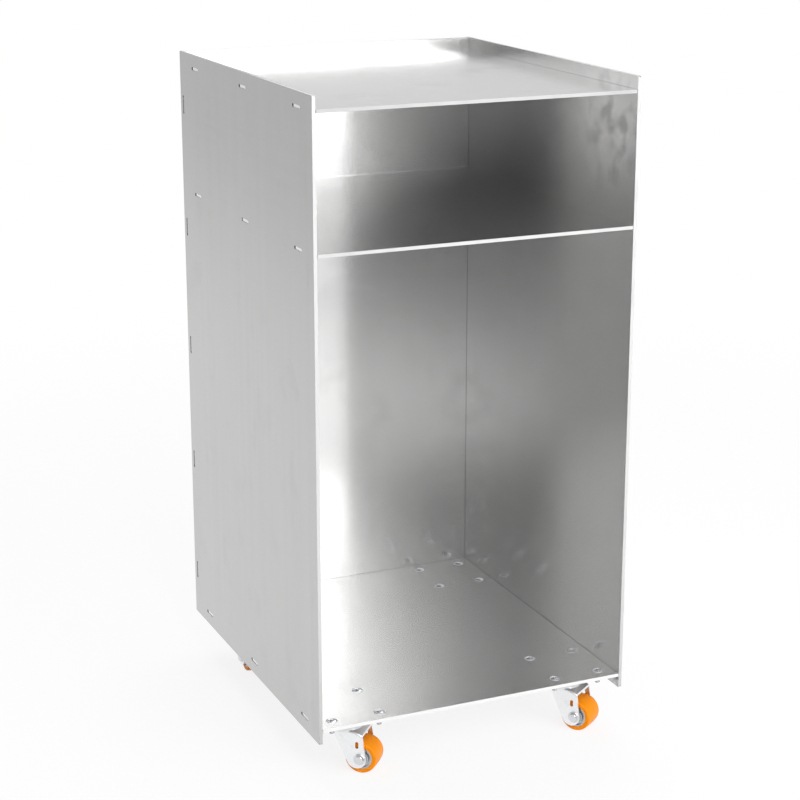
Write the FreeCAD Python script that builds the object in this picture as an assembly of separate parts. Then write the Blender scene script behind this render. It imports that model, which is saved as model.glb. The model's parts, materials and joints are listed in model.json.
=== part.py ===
import FreeCAD, Part
import math
import os

# A narrow sheet-metal cart: two side panels, a back, a recessed tray, a shelf and a floor,
# joined by tabs in slots, on four swivel casters. Millimetres; X to the right, Y to the back,
# Z up, origin on the ground under the middle of the carcass. The front is open.

Vector = FreeCAD.Vector
AXIS_X = Vector(1, 0, 0)
AXIS_Y = Vector(0, 1, 0)
AXIS_Z = Vector(0, 0, 1)
ORIGIN = Vector(0, 0, 0)
FULL_TURN = 360.0

# Carcass; shelf heights are those of the upper faces above the lower edge of the side panels
carcass_width = 400.0
carcass_depth = 450.0
panel_height = 750.0
sheet = 4.0
panel_corner_radius = 2.0
rim_height = 15.0
middle_shelf_height = 578.5
floor_height = 18.5
back_inset = 8.0

# Tabs on the edges of the sheets, eased on both faces, and the round-ended slots that take them
tab_length = 19.0
tab_recess = 0.8
tab_ease = 0.2
slot_clearance = 0.15
shelf_tab_count = 3
shelf_tab_margin = 46.5
rear_tab_count = 2
rear_tab_margin = 90.0
back_tab_count = 5
back_tab_bottom_margin = 62.0
back_tab_top_margin = 66.0

# Where the casters sit, and how far each fork stands turned, seen from above
caster_side_inset = 53.0
caster_front_inset = 52.0
caster_rear_inset = 52.0
front_left_swivel = 48.5
front_right_swivel = 36.0
rear_left_swivel = -3.0
rear_right_swivel = 15.0

# Wheel: crowned tread on a metal core with two bearings
wheel_diameter = 40.0
tread_width = 30.0
tread_crown = 0.8
tread_shoulder_radius = 2.0
core_diameter = 28.0
core_width = 29.0
hub_width = 32.0
hub_wall = 2.0
core_rim_wall = 1.8
core_groove_depth = 2.4
bearing_diameter = 16.0
bearing_width = 5.0
bearing_ring_wall = 1.2
bearing_shield_recess = 0.5
bearing_seat_clearance = 0.02
bearing_shoulder = 2.0
sleeve_diameter = 8.0
running_clearance = 0.05

# Fork: one bent sheet, a curved hood over the wheel and two swept legs
trail = 24.3
fork_sheet = 2.5
hub_clearance = 0.5
wheel_clearance = 8.6
hood_rise = 5.0
hood_flat = 10.0
hood_front_overhang = 3.2
leg_rear_reach = 9.5
leg_end_radius = 12.0
leg_end_setback = 4.0
fork_bend_radius = 3.0
leg_hole_length = 8.6
leg_hole_width = 4.0
leg_hole_rise = 17.9
leg_hole_setback = 3.1

# Swivel bearing: balls between a ring on the fork and the dish of the mounting plate
ball_diameter = 7.0
ball_count = 8
ball_pitch_radius = 16.0
ball_clearance = 0.05
race_groove_depth = 0.75
race_land = 0.5
race_ring_height = 4.1
collar_wall = 1.5
collar_clearance = 1.5
collar_overlap = 0.5
kingpin_diameter = 10.0
kingpin_head_diameter = 16.0
kingpin_head_height = 2.5
kingpin_foot_diameter = 17.0
kingpin_foot_height = 3.5
thrust_clearance = 0.3

# Mounting plate
plate_width = 80.0
plate_length = 86.0
plate_thickness = 3.0
plate_corner_radius = 10.0
bolt_spacing_across = 60.0
bolt_spacing_along = 66.0
dish_depth = 5.5
dish_flare = 4.0

# Fasteners
screw_diameter = 6.0
screw_head_diameter = 12.6
screw_head_recess = 0.4
screw_seat_clearance = 0.05
screw_socket_width = 4.0
screw_socket_depth = 2.2
screw_protrusion = 4.0
floor_hole_clearance = 0.3
thread_clearance = 0.05
nut_width = 10.0
nut_height = 5.0
axle_diameter = 6.0
axle_hole_clearance = 0.1
bolt_head_width = 10.0
bolt_head_height = 4.0
bolt_flange_diameter = 14.0
bolt_flange_thickness = 1.2
lock_nut_height = 6.0
bolt_protrusion = 1.5
hex_chamfer_height = 0.8

# Caster levels above the ground, from the wheel upwards
wheel_radius = wheel_diameter / 2
hood_front_top = wheel_diameter + wheel_clearance + fork_sheet
crown_top = hood_front_top + hood_rise
crown_bottom = crown_top - fork_sheet
ball_radius = ball_diameter / 2
groove_radius = ball_radius + ball_clearance
race_gap = 2 * (groove_radius - race_groove_depth)
race_ring_top = crown_top + race_ring_height
ball_level = race_ring_top + race_gap / 2
dish_bottom = race_ring_top + race_gap
plate_bottom = dish_bottom + dish_depth
caster_height = plate_bottom + plate_thickness

# Radii of the swivel bearing
groove_depth_left = groove_radius - race_groove_depth
groove_half_width = math.sqrt(groove_radius ** 2 - groove_depth_left ** 2)
race_outer_radius = ball_pitch_radius + groove_half_width + race_land
race_inner_radius = ball_pitch_radius - groove_half_width - race_land
collar_inner_radius = race_outer_radius + collar_clearance
crown_radius = collar_inner_radius + collar_wall
kingpin_hole_radius = kingpin_diameter / 2 + running_clearance

# Carcass planes
half_width = carcass_width / 2
inner_width = carcass_width - 2 * sheet
front_face = -carcass_depth / 2
rear_edge = carcass_depth / 2
back_rear_face = rear_edge - back_inset
back_front_face = back_rear_face - sheet
shelf_depth = back_front_face - front_face
floor_bottom = caster_height
panel_bottom = floor_bottom + sheet - floor_height
panel_top = panel_bottom + panel_height
tray_top = panel_top - rim_height
middle_shelf_top = panel_bottom + middle_shelf_height
floor_top = panel_bottom + floor_height
shelf_tops = (tray_top, middle_shelf_top, floor_top)
tab_reach = sheet - tab_recess
tab_thickness = sheet - 2 * tab_ease
slot_width = tab_thickness + 2 * slot_clearance
slot_length = tab_length + 2 * slot_clearance + slot_width

# Fork and wheel widths along the axle
fork_gap = hub_width + 2 * hub_clearance
fork_width = fork_gap + 2 * fork_sheet
axle_centre = Vector(0, -trail, wheel_radius)
leg_end_centre = axle_centre + AXIS_Y * leg_end_setback

# Screw levels
screw_top = floor_top - screw_head_recess
screw_head_radius = screw_head_diameter / 2
nut_bottom = plate_bottom - nut_height
screw_end = nut_bottom - screw_protrusion


def evenly(first, last, count):
    """Return count positions from first to last, equally spaced."""
    step = (last - first) / (count - 1)
    return [first + step * index for index in range(count)]


def edges_along(shape, axis):
    """Return the straight edges of a shape that run along an axis."""
    straight = [edge for edge in shape.Edges if isinstance(edge.Curve, Part.Line)]
    return [edge for edge in straight if abs(edge.tangentAt(edge.FirstParameter).dot(axis)) > 0.999]


def rounded_plate(size, corner, radius, axis):
    """Return a flat plate, a box at a corner point with its four corners round about an axis."""
    plate = Part.makeBox(size.x, size.y, size.z, corner)
    return plate.makeFillet(radius, edges_along(plate, axis))


def obround(centre, along, through, length, width, depth):
    """Return a round-ended bar, centred, with its length along one axis and its depth along another."""
    half = (length - width) / 2
    radius = width / 2
    across = through.cross(along)

    def point(forward, sideways):
        return centre + along * forward + across * sideways - through * (depth / 2)

    outline = [
        Part.LineSegment(point(-half, radius), point(half, radius)),
        Part.Arc(point(half, radius), point(half + radius, 0), point(half, -radius)),
        Part.LineSegment(point(half, -radius), point(-half, -radius)),
        Part.Arc(point(-half, -radius), point(-half - radius, 0), point(-half, radius)),
    ]
    wire = Part.Wire([curve.toShape() for curve in outline])
    return Part.Face(wire).extrude(through * depth)


def turned(profile, centre, axis, radial):
    """Return a solid turned about an axis from a closed outline of (radius, height) points."""
    points = [centre + radial * radius + axis * height for radius, height in profile]
    outline = Part.makePolygon(points + points[:1])
    return Part.Face(outline).revolve(centre, axis, FULL_TURN)


def hexagon(width, height, base, axis, radial):
    """Return a hexagonal prism, measured across flats, with its far end chamfered to a circle."""
    corner_radius = width / math.sqrt(3)
    sideways = axis.cross(radial)
    angles = [math.pi / 3 * index for index in range(7)]
    points = [base + (radial * math.cos(a) + sideways * math.sin(a)) * corner_radius for a in angles]
    prism = Part.Face(Part.makePolygon(points)).extrude(axis * height)
    chamfer_foot = height - hex_chamfer_height
    lathe_profile = [
        (0, 0),
        (corner_radius, 0),
        (corner_radius, chamfer_foot),
        (width / 2 - hex_chamfer_height / 2, height),
        (0, height),
    ]
    return prism.common(turned(lathe_profile, base, axis, radial))


def shelf(top):
    """Return a flat shelf between the sides, with tabs into both sides and into the back."""
    bottom = top - sheet
    board = Part.makeBox(inner_width, shelf_depth, sheet, Vector(-inner_width / 2, front_face, bottom))
    span = inner_width + 2 * tab_reach
    tab_bottom = bottom + tab_ease
    for y in evenly(front_face + shelf_tab_margin, back_front_face - shelf_tab_margin, shelf_tab_count):
        corner = Vector(-span / 2, y - tab_length / 2, tab_bottom)
        board = board.fuse(Part.makeBox(span, tab_length, tab_thickness, corner))
    for x in rear_tab_places():
        corner = Vector(x - tab_length / 2, back_front_face, tab_bottom)
        board = board.fuse(Part.makeBox(tab_length, tab_reach, tab_thickness, corner))
    return board.removeSplitter()


def rear_tab_places():
    """Return where, along X, the shelves' rear tabs enter the back panel."""
    outermost = inner_width / 2 - rear_tab_margin
    return evenly(-outermost, outermost, rear_tab_count)


def back_tab_levels():
    """Return the heights of the back panel's tabs into the sides."""
    return evenly(panel_bottom + back_tab_bottom_margin, panel_top - back_tab_top_margin, back_tab_count)


def side_panel(outer_face):
    """Return a side panel whose sheet starts at outer_face, with slots for the shelves and the back."""
    size = Vector(sheet, carcass_depth, panel_height)
    corner = Vector(outer_face, front_face, panel_bottom)
    panel = rounded_plate(size, corner, panel_corner_radius, AXIS_X)
    middle = outer_face + sheet / 2
    shelf_slots = evenly(front_face + shelf_tab_margin, back_front_face - shelf_tab_margin, shelf_tab_count)
    for top in shelf_tops:
        for y in shelf_slots:
            centre = Vector(middle, y, top - sheet / 2)
            panel = panel.cut(obround(centre, AXIS_Y, AXIS_X, slot_length, slot_width, sheet))
    for level in back_tab_levels():
        centre = Vector(middle, back_front_face + sheet / 2, level)
        panel = panel.cut(obround(centre, AXIS_Z, AXIS_X, slot_length, slot_width, sheet))
    return panel


def back_panel():
    """Return the back, between the sides, with tabs into them and slots for the shelves' rear tabs."""
    corner = Vector(-inner_width / 2, back_front_face, panel_bottom)
    panel = Part.makeBox(inner_width, sheet, panel_height, corner)
    span = inner_width + 2 * tab_reach
    for level in back_tab_levels():
        tab_corner = Vector(-span / 2, back_front_face + tab_ease, level - tab_length / 2)
        panel = panel.fuse(Part.makeBox(span, tab_thickness, tab_length, tab_corner))
    for top in shelf_tops:
        for x in rear_tab_places():
            centre = Vector(x, back_front_face + sheet / 2, top - sheet / 2)
            panel = panel.cut(obround(centre, AXIS_X, AXIS_Y, slot_length, slot_width, sheet))
    return panel.removeSplitter()


def floor_sheet():
    """Return the floor: a shelf drilled and countersunk for the caster screws."""
    board = shelf(floor_top)
    for x, y in screw_places():
        board = board.cut(countersink(x, y))
    return board


def countersink(x, y):
    """Return the space of one floor hole: a right-angled cone over a clearance hole."""
    hole_radius = screw_diameter / 2 + floor_hole_clearance
    mouth_radius = screw_head_radius + screw_head_recess + screw_seat_clearance
    cone_depth = mouth_radius - hole_radius
    profile = [
        (0, -sheet),
        (hole_radius, -sheet),
        (hole_radius, -cone_depth),
        (mouth_radius, 0),
        (0, 0),
    ]
    return turned(profile, Vector(x, y, floor_top), AXIS_Z, AXIS_X)


def screw_offsets():
    """Return the four hole places of a mounting plate about its middle."""
    across = bolt_spacing_across / 2
    along = bolt_spacing_along / 2
    return [(x, y) for x in (-across, across) for y in (-along, along)]


def screw_places():
    """Return the places of all the floor screws, caster by caster."""
    return [(spot[0] + x, spot[1] + y) for spot in caster_spots.values() for x, y in screw_offsets()]


def floor_screw(x, y):
    """Return a countersunk screw with a hexagonal socket, standing in the floor at x, y."""
    shank_radius = screw_diameter / 2
    head_depth = screw_head_radius - shank_radius
    length = screw_top - screw_end
    profile = [
        (0, 0),
        (screw_head_radius, 0),
        (shank_radius, -head_depth),
        (shank_radius, -length),
        (0, -length),
    ]
    top = Vector(x, y, screw_top)
    body = turned(profile, top, AXIS_Z, AXIS_X)
    socket_corner_radius = screw_socket_width / math.sqrt(3)
    angles = [math.pi / 3 * index for index in range(7)]
    rim = [top + Vector(math.cos(a), math.sin(a), 0) * socket_corner_radius for a in angles]
    socket = Part.Face(Part.makePolygon(rim)).extrude(AXIS_Z * -screw_socket_depth)
    return body.cut(socket)


def floor_nut(x, y):
    """Return a hexagonal nut under a mounting plate at x, y."""
    nut = hexagon(nut_width, nut_height, Vector(x, y, plate_bottom), AXIS_Z * -1, AXIS_X)
    bore_radius = screw_diameter / 2 + thread_clearance
    return nut.cut(Part.makeCylinder(bore_radius, nut_height, Vector(x, y, nut_bottom)))


def ball_groove():
    """Return the ring that the swivel balls sweep, with their clearance."""
    return Part.makeTorus(ball_pitch_radius, groove_radius, Vector(0, 0, ball_level))


def mounting_plate():
    """Return the caster's plate: four holes and a dish pressed down, grooved for the balls."""
    size = Vector(plate_width, plate_length, plate_thickness)
    corner = Vector(-plate_width / 2, -plate_length / 2, plate_bottom)
    plate = rounded_plate(size, corner, plate_corner_radius, AXIS_Z)
    wall = plate_thickness * math.hypot(dish_depth, dish_flare) / dish_depth
    slope = dish_flare / dish_depth
    mouth_outer = race_outer_radius + dish_flare
    mouth_inner = mouth_outer + plate_thickness * slope - wall
    pan_inner = race_outer_radius + plate_thickness * slope - wall
    pan_floor = dish_bottom + plate_thickness
    base = Vector(0, 0, dish_bottom)
    plate = plate.fuse(Part.makeCone(race_outer_radius, mouth_outer, dish_depth, base))
    plate = plate.cut(Part.makeCone(pan_inner, mouth_inner, dish_depth, Vector(0, 0, pan_floor)))
    plate = plate.cut(ball_groove())
    plate = plate.cut(Part.makeCylinder(kingpin_hole_radius, caster_height))
    for x, y in screw_offsets():
        hole_radius = screw_diameter / 2 + floor_hole_clearance
        plate = plate.cut(Part.makeCylinder(hole_radius, caster_height, Vector(x, y, 0)))
    return plate.removeSplitter()


def kingpin():
    """Return the rivet of the swivel: a flat head in the dish, a shank and a foot under the crown."""
    pan_floor = dish_bottom + plate_thickness
    foot_top = crown_bottom - thrust_clearance
    foot_bottom = foot_top - kingpin_foot_height
    shank_radius = kingpin_diameter / 2
    head_radius = kingpin_head_diameter / 2
    foot_radius = kingpin_foot_diameter / 2
    profile = [
        (0, foot_bottom),
        (foot_radius - kingpin_foot_height / 2, foot_bottom),
        (foot_radius, foot_bottom + kingpin_foot_height / 2),
        (foot_radius, foot_top),
        (shank_radius, foot_top),
        (shank_radius, pan_floor),
        (head_radius, pan_floor),
        (head_radius, pan_floor + kingpin_head_height),
        (0, pan_floor + kingpin_head_height),
    ]
    return turned(profile, ORIGIN, AXIS_Z, AXIS_X)


def swivel_balls():
    """Return the ring of loose balls between the two races."""
    balls = []
    for index in range(ball_count):
        angle = 2 * math.pi * index / ball_count
        place = Vector(math.cos(angle), math.sin(angle), 0) * ball_pitch_radius
        balls.append(Part.makeSphere(ball_radius, place + Vector(0, 0, ball_level)))
    return Part.makeCompound(balls)


def tangent_point(start, centre, radius, side):
    """Return where a line from start, in the plane of the leg, touches a circle on one side of it."""
    reach = start - centre
    distance = reach.Length
    swing = math.acos(radius / distance) * side
    bearing = math.atan2(reach.z, reach.y) + swing
    return centre + Vector(0, math.cos(bearing), math.sin(bearing)) * radius


def hood_curve(drop):
    """Return the hood's arc from the flat crown to its front edge, lowered square to itself by drop."""
    run = trail + hood_front_overhang - hood_flat
    sweep = 2 * math.atan(hood_rise / run)
    radius = run / math.sin(sweep)
    centre = Vector(0, -hood_flat, crown_top - radius)

    def point(angle):
        return centre + Vector(0, -math.sin(angle), math.cos(angle)) * (radius - drop)

    return Part.Arc(point(0), point(sweep / 2), point(sweep))


def leg_outline():
    """Return the fork's side view: flat crown, hood, front edge, round end and swept rear edge."""
    hood = hood_curve(0)
    rear_top = Vector(0, leg_rear_reach, crown_top)
    front_touch = tangent_point(hood.EndPoint, leg_end_centre, leg_end_radius, 1)
    rear_touch = tangent_point(rear_top, leg_end_centre, leg_end_radius, -1)
    lowest = leg_end_centre - AXIS_Z * leg_end_radius
    outline = [
        Part.LineSegment(rear_top, hood.StartPoint),
        hood,
        Part.LineSegment(hood.EndPoint, front_touch),
        Part.Arc(front_touch, lowest, rear_touch),
        Part.LineSegment(rear_touch, rear_top),
    ]
    return Part.Face(Part.Wire([curve.toShape() for curve in outline]))


def wheel_space():
    """Return the side view of the room under the crown and hood, open at the front and rear."""
    hood = hood_curve(fork_sheet)
    far_rear = crown_radius + leg_rear_reach
    far_front = -trail - wheel_diameter
    rear_top = Vector(0, far_rear, crown_bottom)
    slope = hood.EndPoint - hood.StartPoint
    beyond = hood.EndPoint + slope
    outline = [
        Part.LineSegment(rear_top, hood.StartPoint),
        hood,
        Part.LineSegment(hood.EndPoint, beyond),
        Part.LineSegment(beyond, Vector(0, far_front, 0)),
        Part.LineSegment(Vector(0, far_front, 0), Vector(0, far_rear, 0)),
        Part.LineSegment(Vector(0, far_rear, 0), rear_top),
    ]
    return Part.Face(Part.Wire([curve.toShape() for curve in outline]))


def centred_extrusion(face, width):
    """Return a side-view face thickened to a width along the axle, centred on the fork."""
    return face.translated(AXIS_X * (-width / 2)).extrude(AXIS_X * width)


def is_bend(edge):
    """Tell whether an edge of the plain channel runs along the side of its crown or hood."""
    middle = edge.valueAt((edge.FirstParameter + edge.LastParameter) / 2)
    on_side = abs(middle.x) > fork_gap / 2
    on_top = middle.z > hood_front_top and middle.y < 0
    return on_side and on_top


def fork():
    """Return the swept fork: bent sheet, round crown with dust collar and race ring, holes."""
    channel = centred_extrusion(leg_outline(), fork_width)
    top_edges = [edge for edge in channel.Edges if is_bend(edge)]
    channel = channel.makeFillet(fork_bend_radius, top_edges)
    channel = channel.cut(centred_extrusion(wheel_space(), fork_gap))
    collar_top = dish_bottom + collar_overlap
    crown_profile = [
        (kingpin_hole_radius, crown_bottom),
        (crown_radius, crown_bottom),
        (crown_radius, collar_top),
        (collar_inner_radius, collar_top),
        (collar_inner_radius, crown_top),
        (race_outer_radius, crown_top),
        (race_outer_radius, race_ring_top),
        (race_inner_radius, race_ring_top),
        (race_inner_radius, crown_top),
        (kingpin_hole_radius, crown_top),
    ]
    crown = turned(crown_profile, ORIGIN, AXIS_Z, AXIS_X).cut(ball_groove())
    kingpin_hole = Part.makeCylinder(kingpin_hole_radius, caster_height)
    body = channel.cut(kingpin_hole).fuse(crown)
    axle_hole_radius = axle_diameter / 2 + axle_hole_clearance
    axle_start = axle_centre - AXIS_X * (fork_width / 2)
    body = body.cut(Part.makeCylinder(axle_hole_radius, fork_width, axle_start, AXIS_X))
    hole_centre = axle_centre + Vector(0, leg_hole_setback, leg_hole_rise)
    body = body.cut(obround(hole_centre, AXIS_Z, AXIS_X, leg_hole_length, leg_hole_width, fork_width))
    return body.removeSplitter()


def axle_bolt():
    """Return the axle: a bolt through both legs, with a flanged hexagon head on the left."""
    shank_start = axle_centre - AXIS_X * (fork_width / 2)
    length = fork_width + lock_nut_height + bolt_protrusion
    shank = Part.makeCylinder(axle_diameter / 2, length, shank_start, AXIS_X)
    head = hexagon(bolt_head_width, bolt_head_height, shank_start, AXIS_X * -1, AXIS_Y)
    flange = Part.makeCylinder(bolt_flange_diameter / 2, bolt_flange_thickness, shank_start, AXIS_X * -1)
    return shank.fuse([head, flange]).removeSplitter()


def axle_nut():
    """Return the lock nut on the right end of the axle."""
    seat = axle_centre + AXIS_X * (fork_width / 2)
    nut = hexagon(nut_width, lock_nut_height, seat, AXIS_X, AXIS_Y)
    bore_radius = axle_diameter / 2 + thread_clearance
    return nut.cut(Part.makeCylinder(bore_radius, lock_nut_height, seat, AXIS_X))


def axle_sleeve():
    """Return the sleeve clamped between the legs, on which the bearings run."""
    start = axle_centre - AXIS_X * (fork_gap / 2)
    bore_radius = axle_diameter / 2 + axle_hole_clearance
    sleeve = Part.makeCylinder(sleeve_diameter / 2, fork_gap, start, AXIS_X)
    return sleeve.cut(Part.makeCylinder(bore_radius, fork_gap, start, AXIS_X))


def wheel_core():
    """Return the metal core: rim, grooved faces, hub and two bearing seats with a shoulder between."""
    seat_radius = bearing_diameter / 2 + bearing_seat_clearance
    shoulder_radius = bearing_diameter / 2 - bearing_shoulder
    hub_radius = bearing_diameter / 2 + hub_wall
    rim_inner_radius = core_diameter / 2 - core_rim_wall
    hub_face = hub_width / 2
    rim_face = core_width / 2
    groove_floor = rim_face - core_groove_depth
    seat_floor = hub_face - bearing_width
    right_half = [
        (core_diameter / 2, rim_face),
        (rim_inner_radius, rim_face),
        (rim_inner_radius, groove_floor),
        (hub_radius, groove_floor),
        (hub_radius, hub_face),
        (seat_radius, hub_face),
        (seat_radius, seat_floor),
        (shoulder_radius, seat_floor),
    ]
    left_half = [(radius, -height) for radius, height in reversed(right_half)]
    return turned(right_half + left_half, axle_centre, AXIS_X, AXIS_Z)


def wheel_bearings():
    """Return the two shielded bearings, flush with the hub's faces."""
    bore_radius = sleeve_diameter / 2 + running_clearance
    outer_radius = bearing_diameter / 2
    inner_ring_radius = bore_radius + bearing_ring_wall
    outer_ring_radius = outer_radius - bearing_ring_wall
    outside = hub_width / 2
    inside = outside - bearing_width
    profile = [
        (bore_radius, inside),
        (outer_radius, inside),
        (outer_radius, outside),
        (outer_ring_radius, outside),
        (outer_ring_radius, outside - bearing_shield_recess),
        (inner_ring_radius, outside - bearing_shield_recess),
        (inner_ring_radius, outside),
        (bore_radius, outside),
    ]
    sides = (AXIS_X, AXIS_X * -1)
    return Part.makeCompound([turned(profile, axle_centre, side, AXIS_Z) for side in sides])


def tread():
    """Return the polyurethane tread: a ring on the core with a crowned running face."""
    half = tread_width / 2
    core_radius = core_diameter / 2
    shoulder = wheel_radius - tread_crown

    def point(radius, sideways):
        return axle_centre + AXIS_Z * radius + AXIS_X * sideways

    outline = [
        Part.LineSegment(point(core_radius, -half), point(shoulder, -half)),
        Part.Arc(point(shoulder, -half), point(wheel_radius, 0), point(shoulder, half)),
        Part.LineSegment(point(shoulder, half), point(core_radius, half)),
        Part.LineSegment(point(core_radius, half), point(core_radius, -half)),
    ]
    section = Part.Face(Part.Wire([curve.toShape() for curve in outline]))
    ring = section.revolve(axle_centre, AXIS_X, FULL_TURN)
    rims = [edge for edge in ring.Edges if abs(edge.BoundBox.ZLength - 2 * shoulder) < tread_crown / 2]
    return ring.makeFillet(tread_shoulder_radius, [edge for edge in rims if edge.BoundBox.XLength < half])


def export(name, shape):
    """Write one named piece."""
    shape.exportStep("parts/" + name + ".step")


# Caster places: middle of the mounting plate and the fork's turn
left_x = -half_width + caster_side_inset
right_x = half_width - caster_side_inset
front_y = front_face + caster_front_inset
rear_y = back_front_face - caster_rear_inset
caster_spots = {
    "front_left": (left_x, front_y, front_left_swivel),
    "front_right": (right_x, front_y, front_right_swivel),
    "rear_left": (left_x, rear_y, rear_left_swivel),
    "rear_right": (right_x, rear_y, rear_right_swivel),
}

# Pieces of a caster about its own swivel axis: those fixed to the floor, and those that turn with the fork
fixed_pieces = {
    "caster_plate": mounting_plate(),
    "kingpin": kingpin(),
}
turning_pieces = {
    "swivel_balls": swivel_balls(),
    "fork": fork(),
    "axle_bolt": axle_bolt(),
    "axle_nut": axle_nut(),
    "axle_sleeve": axle_sleeve(),
    "wheel_core": wheel_core(),
    "wheel_bearings": wheel_bearings(),
    "tread": tread(),
}

os.makedirs("parts", exist_ok=True)

export("left_side_panel", side_panel(-half_width))
export("right_side_panel", side_panel(half_width - sheet))
export("back_panel", back_panel())
export("top_tray", shelf(tray_top))
export("middle_shelf", shelf(middle_shelf_top))
export("floor_panel", floor_sheet())
export("floor_screws", Part.makeCompound([floor_screw(x, y) for x, y in screw_places()]))
export("floor_nuts", Part.makeCompound([floor_nut(x, y) for x, y in screw_places()]))

for corner_name, (spot_x, spot_y, swivel) in caster_spots.items():
    spot = Vector(spot_x, spot_y, 0)
    for piece_name, piece in fixed_pieces.items():
        export(corner_name + "_" + piece_name, piece.translated(spot))
    for piece_name, piece in turning_pieces.items():
        turned_piece = piece.rotated(ORIGIN, AXIS_Z, swivel)
        export(corner_name + "_" + piece_name, turned_piece.translated(spot))
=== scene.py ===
"""A narrow cart of brushed sheet metal on four casters: finishes, hardware, studio and camera."""

import json
import logging
import math
from dataclasses import dataclass
from enum import Enum
from typing import Any, Optional, Union

import bpy
import numpy as np
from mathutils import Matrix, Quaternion, Vector


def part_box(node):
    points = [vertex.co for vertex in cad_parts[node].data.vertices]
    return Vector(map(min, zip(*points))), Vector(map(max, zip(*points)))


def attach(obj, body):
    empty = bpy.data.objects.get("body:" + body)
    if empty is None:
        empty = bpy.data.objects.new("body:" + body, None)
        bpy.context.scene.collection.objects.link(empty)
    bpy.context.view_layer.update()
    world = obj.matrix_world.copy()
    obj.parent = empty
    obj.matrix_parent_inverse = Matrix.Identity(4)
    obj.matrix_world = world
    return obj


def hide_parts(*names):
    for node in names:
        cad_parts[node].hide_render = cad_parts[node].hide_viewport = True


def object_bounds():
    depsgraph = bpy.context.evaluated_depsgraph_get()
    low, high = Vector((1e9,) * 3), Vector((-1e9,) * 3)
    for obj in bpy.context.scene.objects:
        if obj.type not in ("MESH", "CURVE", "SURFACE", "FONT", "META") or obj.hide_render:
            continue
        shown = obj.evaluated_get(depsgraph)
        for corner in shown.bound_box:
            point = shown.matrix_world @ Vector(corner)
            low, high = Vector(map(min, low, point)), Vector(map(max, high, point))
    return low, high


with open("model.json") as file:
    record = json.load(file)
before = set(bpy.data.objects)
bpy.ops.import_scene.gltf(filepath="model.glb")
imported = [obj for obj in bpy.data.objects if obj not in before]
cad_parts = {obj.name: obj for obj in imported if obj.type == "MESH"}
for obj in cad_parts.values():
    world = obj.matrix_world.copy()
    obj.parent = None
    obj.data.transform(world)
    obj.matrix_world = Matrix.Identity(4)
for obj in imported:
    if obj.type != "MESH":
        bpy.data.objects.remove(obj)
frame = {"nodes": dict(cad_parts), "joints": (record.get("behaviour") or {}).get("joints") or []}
cad_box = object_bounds()

log = logging.getLogger("utility_cart")

FULL_TURN = 2 * math.pi
SHARP_ANGLE = math.radians(32)
ACROSS_GRAIN = 0.25  # of a turn: reflections stretch across the brushing

Triple = tuple[float, float, float]
Colour = Triple
Span = tuple[float, float]
Number = Union["Wire", float]
Surface = tuple[np.ndarray, list[list[int]]]
Rings = list[tuple[np.ndarray, float]]


class Axis(Enum):
    """A direction of the cart: across, front to back, or up."""

    ACROSS = 0
    DEPTH = 1
    UP = 2


class Head(Enum):
    """The two heads of the cart's screws and bolts."""

    SUNK_SOCKET = "sunk_socket"
    HEXAGON = "hexagon"


class Corner(Enum):
    """The four corners that carry a caster."""

    FRONT_LEFT = "front_left"
    FRONT_RIGHT = "front_right"
    REAR_LEFT = "rear_left"
    REAR_RIGHT = "rear_right"


class Ray(Enum):
    """The kinds of ray that see the background directly."""

    CAMERA = "Is Camera Ray"
    GLOSSY = "Is Glossy Ray"
    TRANSMISSION = "Is Transmission Ray"


class Wire:
    """One output of a shader node; arithmetic on it adds Math nodes to the same tree."""

    def __init__(self, tree: "ShaderTree", socket: bpy.types.NodeSocket) -> None:
        """Hold an output socket and the tree that it belongs to."""
        self.tree = tree
        self.socket = socket

    def _math(self, operation: str, first: Number, second: Number = 0.0) -> "Wire":
        """Return the result of one Math node on two values."""
        return self.tree.node("ShaderNodeMath", {"operation": operation}, {0: first, 1: second})

    def __add__(self, other: Number) -> "Wire":
        """Return the sum."""
        return self._math("ADD", self, other)

    def __radd__(self, other: Number) -> "Wire":
        """Return the sum with a number on the left."""
        return self._math("ADD", other, self)

    def __sub__(self, other: Number) -> "Wire":
        """Return the difference."""
        return self._math("SUBTRACT", self, other)

    def __rsub__(self, other: Number) -> "Wire":
        """Return the difference from a number on the left."""
        return self._math("SUBTRACT", other, self)

    def __mul__(self, other: Number) -> "Wire":
        """Return the product."""
        return self._math("MULTIPLY", self, other)

    def __rmul__(self, other: Number) -> "Wire":
        """Return the product with a number on the left."""
        return self._math("MULTIPLY", other, self)

    def __abs__(self) -> "Wire":
        """Return the size without its sign."""
        return self._math("ABSOLUTE", self)


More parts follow.
